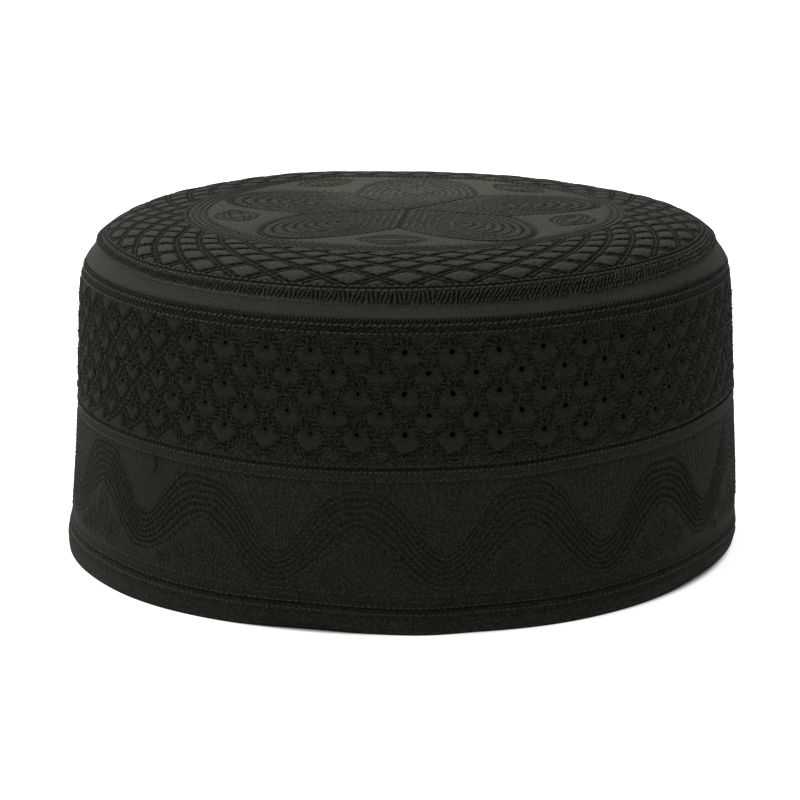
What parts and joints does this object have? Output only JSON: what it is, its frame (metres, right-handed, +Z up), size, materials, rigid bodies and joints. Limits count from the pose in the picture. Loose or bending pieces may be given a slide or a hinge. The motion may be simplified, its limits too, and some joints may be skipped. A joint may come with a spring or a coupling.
{
  "type": "prayer cap",
  "caption": "Round flat-topped prayer cap of black quilted cloth with an embroidered crown, rows of sewn eyelets, a stitched wave border and a plain folded hem.",
  "frame": {"origin": "centre of the cap's box, on the surface that its hem rests on", "axes": "+Z up through the crown, -Y towards the front"},
  "size_m": [0.1899, 0.1889, 0.0934],
  "materials": {
    "quilted_cloth": "matt black quilted cotton, embroidered in black",
    "plain_cloth": "smooth matt black cotton",
    "thread": "black embroidery thread with a soft sheen"
  },
  "bodies": {
    "root": {"crown_panel": "quilted_cloth", "shoulder_roll": "plain_cloth", "seam_cord": "thread", "side_band": "quilted_cloth", "middle_cord": "thread", "hem_cord": "thread", "hem_band": "plain_cloth"}
  },
  "joints": []
}
